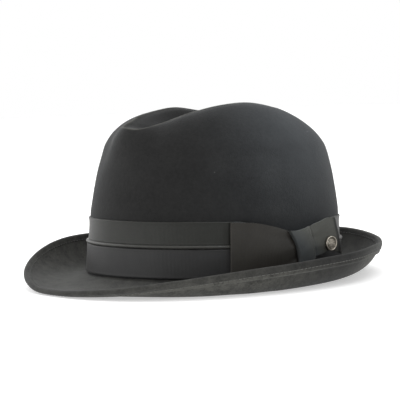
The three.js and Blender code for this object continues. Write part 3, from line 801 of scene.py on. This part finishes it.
BACK_WING = rows(BOW_COLUMNS, (94, 3.2, 0.82, 0.35, 0.12, 0), (96.2, 3.2, 0.853, 0.357, 0.2, 0.01),
                 (97.2, 3.2, 0.869, 0.362, 0.345, 0.02), (98.4, 3.2, 0.895, 0.37, 0.385, 0.03),
                 (100.5, 3.2, 0.93, 0.39, 0.46, 0.03), (103, 3, 0.965, 0.43, 0.6, 0.04),
                 (105.4, 2.8, 1.01, 0.44, 0.76, 0.04), (107.9, 3.6, 1.02, 0.41, 0.93, 0.03),
                 (109.7, 4.4, 1.02, 0.37, 1.06, 0.02))


def bow_point(table, place, across, depth):
    """Point of a bow piece. across runs from 0 at its lower edge to 1 at its upper one."""
    place, across, depth = np.broadcast_arrays(place, across, depth)
    column = {name: smooth(table, "at", name, place) for name in BOW_COLUMNS.split()[1:]}
    angle = place + column["lean"] * (1 - across**2)
    height = BAND_TOP * (column["bottom"] + across * (column["top"] - column["bottom"]))
    swell = 4 * across * (1 - across)
    stands = BOW_SEAT + BOW_LIFT * (column["lift"] + column["puff"] * swell) + depth
    return crown_side(angle, height) + outward(angle) * stands[..., None]


def across_steps(count):
    """Shares from the lower edge to the upper one, closest together at both."""
    return 0.5 - 0.5 * np.cos(math.pi * np.linspace(0, 1, count))


def bow_cloth(place, across, depth):
    """Place on the ribbon: along it, across it and through it."""
    along = np.radians(place) * HALF_LENGTH + 0 * across
    return np.stack([along, across * BAND_TOP + 0 * along, depth + 0 * along], -1)


bow_turn = math.radians(BACK_WING["at"][-1] - FRONT_WING["at"][0])
print("Bow along the band, in mm:", round(bow_turn * HALF_LENGTH / MM))

# %% [markdown]
# Each wing is one ribbon folded back on itself, so its free end is a rounded fold and its long edges show
# two layers with a thin gap. The path runs out along the upper layer, round the fold and back along the
# lower one. Soft folds fan out from the knot, deepest where it gathers the ribbon.

# %% Wings of the bow
LAYER = 0.68 * MM
KNOT_EDGE = 98
FREE_FOLD = 107.9


def folds(fans, share, across):
    """Height of the folds. A fan says where a fold starts and ends across the wing, its height and width."""
    height = 0
    for start, end, tall, wide in fans:
        line = start + (end - start) * share
        near_line = np.exp(-((across - line) / (wide * (0.5 + share))) ** 2)
        height = height + tall * MM * (1 - share) ** 1.3 * near_line
    return height


def wing(name, table, knot_end, fans, numbers=None, steps=46, crosses=40):
    """A folded wing. knot_end is the row at the knot, 0 for the first and -1 for the last."""
    knot_at, free_at = table["at"][knot_end], table["at"][-1 - knot_end]
    half = WING_RIBBON / 2
    across = across_steps(crosses)[None]
    turns = np.linspace(0, math.pi, 9)[1:-1]
    reach = math.degrees(half / HALF_LENGTH) * np.sign(free_at - knot_at)
    out = knot_at + np.linspace(0, 1, steps) * (free_at - knot_at - reach)
    along, through = [], []
    for radius in (half, half - LAYER):
        turned = free_at - reach + reach * radius / half * np.sin(turns)
        along.append(np.concatenate([out, turned, out[::-1]])[:, None])
        sides = np.concatenate([np.ones(steps), np.cos(turns), -np.ones(steps)])
        through.append((half + radius * sides)[:, None])
    place = along[0]
    fold = folds(fans, np.clip((place - knot_at) / (free_at - knot_at), 0, 1), across)
    outer, inner = (bow_point(table, at, across, depth + fold) for at, depth in zip(along, through))
    cloth = [bow_cloth(place, across, through[0]), bow_cloth(place, across[:, ::-1], through[1])]
    values = {"cloth": np.concatenate(cloth, 1)}
    for label, value in (numbers or {}).items():
        values[label] = value(place, np.hstack([across, across[:, ::-1]]))
    section = np.concatenate([outer, inner[:, ::-1]], 1)
    return grid_piece(name, section, values, round_hat=False, tube=True, caps=True)


def near_knot_painted_cool(place, across):
    """Share of the knot's painted cool tone on the back wing, most at its lower edge."""
    return np.clip(1 - 1.6 * across - (place - KNOT_EDGE) / 5, 0, 1)


def free_end(place, across):
    """Share of shade at the fold of the back wing."""
    return np.clip((place - FREE_FOLD) / 0.8, 0, 1) + 0 * across


front_wing = wing("bow_front_wing_folded", FRONT_WING, -1,
                  [(0.22, 0.02, -0.9, 0.13), (0.52, 0.4, 0.5, 0.13), (0.75, 0.85, -0.5, 0.1)])
back_wing = wing("bow_back_wing_folded", BACK_WING, 0, [(0.35, 0.15, 0.5, 0.14), (0.62, 0.6, -0.6, 0.12)],
                 {"turned": near_knot_painted_cool, "shaded": free_end})

# %% [markdown]
# The knot is a short loop of the same ribbon that wraps the bow's middle. Its front edge is turned under,
# so it is round and catches a thin line of light. At the back it lies down on the wing and hardly shows as
# an edge: the knot's cool tone is a painted cool reflection and the wing's warmer, paler tone is painted
# light, and the one turns into the other across both pieces. One shallow crease runs across it, where the
# loop is pulled tight.

# %% Knot of the bow
KNOT_TURN = 1.1 * MM
KNOT_LAY = 5 * MM
KNOT_LAID = rows("at share", (0, 0.5), (0.5, 0.85), (1, 1))
KNOT_CREASE = 0.4 * MM


def knot():
    """The loop round the bow's middle, round at its front edge and laid down at its back one."""
    place = np.linspace(KNOT["at"][0], KNOT["at"][-1], 40)[:, None]
    across = across_steps(36)[None]
    share = (place - place[0]) / (place[-1] - place[0])
    width = np.radians(KNOT["at"][-1] - KNOT["at"][0]) * HALF_LENGTH
    folded = np.sqrt(np.clip(1 - (1 - np.clip(share * width / KNOT_TURN, 0, 1)) ** 2, 0, 1))
    laid = smooth(KNOT_LAID, "at", "share", np.clip((1 - share) * width / KNOT_LAY, 0, 1))
    crease = KNOT_CREASE * np.exp(-((across - 0.42 - 0.25 * share) / 0.12) ** 2) * share
    face = KNOT_RIBBON * np.minimum(0.2 + 0.8 * folded, laid) - crease
    layers = ((across, face), (across[:, ::-1], 0 * face))
    grid = np.concatenate([bow_point(KNOT, place, *layer) for layer in layers], 1)
    cloth = np.concatenate([bow_cloth(place, *layer) for layer in layers], 1)
    # Share of the wing's painted light tone on the knot, most towards its back edge and top.
    turned = np.clip(share + 0.9 * (np.hstack([across, across[:, ::-1]]) - 0.75), 0, 1)
    return grid_piece("bow_knot_loop", grid, {"cloth": cloth[..., [1, 0, 2]], "turned": turned},
                      round_hat=False, tube=True, caps=True)


bow_knot = knot()
# The back wing's paler tone is painted light and the knot's cooler tone a painted cool reflection, both on
# the bow's one ribbon.
KNOT_PAINTED_COOL_TONE = (0.0435, 0.047, 0.0477)
WING_PAINTED_LIGHT_TONE = (0.057, 0.057, 0.0488)
wing_ribbon = ribbon_finish("bow_grosgrain", (0.0178, 0.0157, 0.0128), (0.0284, 0.0256, 0.0212), 0.5, 0.26)
painted_lit_ribbon = ribbon_finish("back_wing_grosgrain", (0.0452, 0.0452, 0.0384), (0.0702, 0.0702, 0.0604),
                           0.5, 0.3, KNOT_PAINTED_COOL_TONE)
painted_cool_knot_ribbon = ribbon_finish("knot_grosgrain", (0.0338, 0.0366, 0.0374), (0.052, 0.0565, 0.0572),
                            0.48, 0.28, WING_PAINTED_LIGHT_TONE)
for dressed, node, finish in ((front_wing, "bow_front_wing", wing_ribbon),
                              (back_wing, "bow_back_wing", painted_lit_ribbon), (bow_knot, "bow_knot", painted_cool_knot_ribbon)):
    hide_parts(node)
    dressed.data.materials.append(finish)

# %% [markdown]
# The pin is a small cast disc of pewter on the back wing. It is one profile, from the middle of the face to
# the back, spun round its axis as on a lathe. A raised rim, a fine inner ring and a ring of beads frame a
# plain face that is left bare, with only the soft dimples of the casting.

# %% Pin
PIN_DIAMETER = 10.8 * MM
PIN_THICK = 1.6 * MM
PIN_RIM = 1 * MM
PIN_RECESS = 0.5 * MM
PIN_DOME = 0.18 * MM
PIN_CHAMFER = 0.3 * MM
RING_RADIUS = 0.16 * MM
RING_IN = 1.05 * MM
PIN_ALONG = 0.7
PIN_UP = 0.22
PIN_SIDES = 72
BEADS = 34
BEAD_IN = 0.42 * MM
BEAD = 0.3 * MM


def pin_frame():
    """Where the pin lies on the wing: its seat, its normal and two directions across it."""
    radius = PIN_DIAMETER / 2
    first, last = BACK_WING["at"][0], BACK_WING["at"][-1]
    place = first + PIN_ALONG * (last - first)
    turn = math.degrees(radius / HALF_LENGTH)
    top, bottom = (smooth(BACK_WING, "at", edge, np.array(place)) for edge in ("top", "bottom"))
    rise = radius / (BAND_TOP * (top - bottom))
    spots = [(0, 0), (-turn, 0), (turn, 0), (0, -rise), (0, rise)]
    seat, ahead, behind, below, above = (
        bow_point(BACK_WING, place + along, PIN_UP + up, WING_RIBBON) for along, up in spots)
    normal = unit(np.cross(behind - ahead, above - below))
    proud = max(0, *((edge - seat) @ normal for edge in (ahead, behind, below, above)))
    side = unit(np.cross([0, 0, 1], normal))
    return seat + normal * (proud + GAP), normal, side, np.cross(normal, side)


def pin_profile():
    """Radius and height of the pin's face, from its middle over the rim to the back."""
    radius = PIN_DIAMETER / 2
    face = PIN_THICK - PIN_RECESS
    inner = radius - PIN_RIM
    middle = np.linspace(0.2 * MM, inner - 1.3 * MM, 12)
    lines = [(r, face + PIN_DOME * (1 - (r / inner) ** 2)) for r in middle]
    ring = np.linspace(0, math.pi, 7)
    lines += [(inner - RING_IN - RING_RADIUS * math.cos(t), face + RING_RADIUS * math.sin(t)) for t in ring]
    lines += [(inner - 0.75 * MM, face), (inner - 0.1 * MM, face)]
    lines += [(inner + PIN_RIM / 2 * (1 - math.cos(t)), face + PIN_RECESS * math.sin(t))
              for t in np.linspace(0.25, math.pi * 0.85, 9)]
    lines += [(radius, face * 0.75), (radius, PIN_CHAMFER), (radius - PIN_CHAMFER, 0), (PIN_CHAMFER, 0)]
    return np.array(lines)


def pin_piece():
    """The pin's body, spun from its profile."""
    seat, normal, side, up = pin_frame()
    profile = pin_profile()
    turns = np.arange(PIN_SIDES) * 2 * math.pi / PIN_SIDES
    level = side[None] * np.cos(turns)[:, None] + up[None] * np.sin(turns)[:, None]
    grid = seat + level[:, None] * profile[None, :, :1] + normal * profile[None, :, 1:]
    high = profile[:, 1] / PIN_THICK
    worn = np.broadcast_to(np.clip((high - 0.55) / 0.45, 0, 1), grid.shape[:2])
    middles = [seat + normal * (PIN_THICK - PIN_RECESS + PIN_DOME), seat]
    return grid_piece("round_pin", grid, {"worn": worn}, poles=middles)


def pin_beads():
    """A ring of small beads inside the rim."""
    seat, normal, side, up = pin_frame()
    ring = PIN_DIAMETER / 2 - PIN_RIM - BEAD_IN
    work = bmesh.new()
    for bead in range(BEADS):
        turn = 2 * math.pi * bead / BEADS
        spoke = side * math.cos(turn) + up * math.sin(turn)
        middle = seat + spoke * ring + normal * (PIN_THICK - PIN_RECESS)
        ball = bmesh.ops.create_icosphere(work, subdivisions=2, radius=BEAD)
        bmesh.ops.translate(work, verts=ball["verts"], vec=Vector(stand(middle)))
    mesh = bpy.data.meshes.new("pin_beads")
    work.to_mesh(mesh)
    work.free()
    return finish_mesh("pin_beads", mesh)


def pewter_finish():
    """Aged pewter: bright where it is worn, darker and duller in the hollows."""
    finish, tree, place = new_finish("aged_pewter", {"Metallic": 1.0})
    patina = maths(tree, "MULTIPLY_ADD", grain(tree, place, 1.2 * MM, 4.0), 1.3, -0.38)
    share = maths(tree, "ADD", patina, maths(tree, "MULTIPLY", kept(tree)["Fac"], 0.5))
    colour = tones(tree, share, (0.2, (0.13, 0.118, 0.098)), (0.75, (0.52, 0.475, 0.405)))
    dull = maths(tree, "MULTIPLY_ADD", share, -0.25, 0.55)
    dimples = relief(tree, grain(tree, place, 1.1 * MM, 1.0), 0.2 * MM, 0.8)
    join(tree, Base_Color=colour, Roughness=dull, Normal=dimples)
    return finish


pin = pin_piece()
beads = pin_beads()
aged_pewter = pewter_finish()
for metal in (pin, beads):
    metal.data.materials.append(aged_pewter)
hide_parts("pin")

# %% [markdown]
# A pale floor runs under the hat, far larger than the picture, with the faint unevenness of paint. It glows
# a little, as a studio's white table does that is lit from beneath, so the underside of the brim isn't lost
# in shadow.

# %% Floor
FLOOR_HALF = 6.0
FLOOR_DROP = 0.2 * MM
TABLE_GLOW = 0.45


def floor():
    """The table that the hat rests on."""
    corners = ((-1, -1), (1, -1), (1, 1), (-1, 1))
    mesh = bpy.data.meshes.new("pale_floor")
    mesh.from_pydata([(x * FLOOR_HALF, y * FLOOR_HALF, -FLOOR_DROP) for x, y in corners], [], [range(4)])
    board = placed("pale_floor", mesh)
    finish, tree, place = new_finish("pale_paint", {
        "Roughness": 0.7, "Specular IOR Level": 0.3, "Emission Color": (1, 1, 1, 1),
        "Emission Strength": TABLE_GLOW})
    join(tree, Base_Color=tones(tree, grain(tree, place, 0.2), (0.2, (0.74,) * 3), (0.8, (0.78,) * 3)))
    mesh.materials.append(finish)
    return board


pale_floor = floor()
print("Floor, in m:", tuple(round(side, 1) for side in pale_floor.dimensions))

# %% [markdown]
# A black hat on white is lit from its sides. White surroundings give a soft even light and are darker
# beyond the right of the picture. Soft boxes at the left, in front, behind and above draw the edges of the
# hat out of the dark, and a cool spotlight with a feathered beam lays the gleam on the shoulder of the
# crown, high at the right. The near side stays dark.

# %% Light
SURROUND = 1.0
FLAGGED = 0.55
PICTURE_RIGHT = Vector((math.cos(CAMERA_ROUND), math.sin(CAMERA_ROUND), 0))
CROWN_MIDDLE = (0, 0, 80 * MM)
GLEAM_FROM = (1.05, 0.62, 1.2)
GLEAM_ON = (0.066, 0.026, 0.104)
GLEAM_BEAM = math.radians(5)
GLEAM_WATTS = 210
GLEAM_COLOUR = (0.78, 0.89, 1.0)
GLEAM_RADIUS = 0.03


def lamp(kind, name, place, aim, watts):
    """A lamp that looks at a point. It gives back the lamp's own settings."""
    data = bpy.data.lights.new(name, kind)
    data.energy = watts
    light = placed(name, data)
    light.location = place
    light.rotation_euler = (Vector(aim) - Vector(place)).to_track_quat("-Z", "Y").to_euler()
    return data


def surroundings():
    """White all round, and darker beyond the right of the picture."""
    world = bpy.data.worlds.new("white_surroundings")
    world.use_nodes = True
    tree = world.node_tree
    towards = add(tree, "ShaderNodeTexCoord").outputs["Generated"]
    right = add(tree, "ShaderNodeVectorMath", {"operation": "DOT_PRODUCT"}, in0=towards, in1=PICTURE_RIGHT)
    colour = tones(tree, right.outputs["Value"], (0.3, (SURROUND,) * 3), (0.75, (FLAGGED,) * 3))
    tree.links.new(colour, tree.nodes["Background"].inputs["Color"])
    bpy.context.scene.world = world


surroundings()
bpy.context.scene.view_settings.view_transform = "Standard"
for box_name, box_place, side, watts in (
        ("left_box", (-1.3, -0.5, 0.7), 0.9, 5), ("front_box", (-0.1, -1.4, 0.25), 0.8, 4.5),
        ("rear_box", (-1.2, 0.8, 0.8), 0.7, 3), ("top_box", (0.3, 0.3, 1.6), 1.2, 8.5)):
    lamp("AREA", box_name, box_place, CROWN_MIDDLE, watts).size = side
gleam = lamp("SPOT", "gleam", GLEAM_FROM, GLEAM_ON, GLEAM_WATTS)
gleam.color = GLEAM_COLOUR
gleam.spot_size = GLEAM_BEAM
gleam.spot_blend = 1
gleam.shadow_soft_size = GLEAM_RADIUS
print("Lamps:", ", ".join(lamp_data.name for lamp_data in bpy.data.lights))
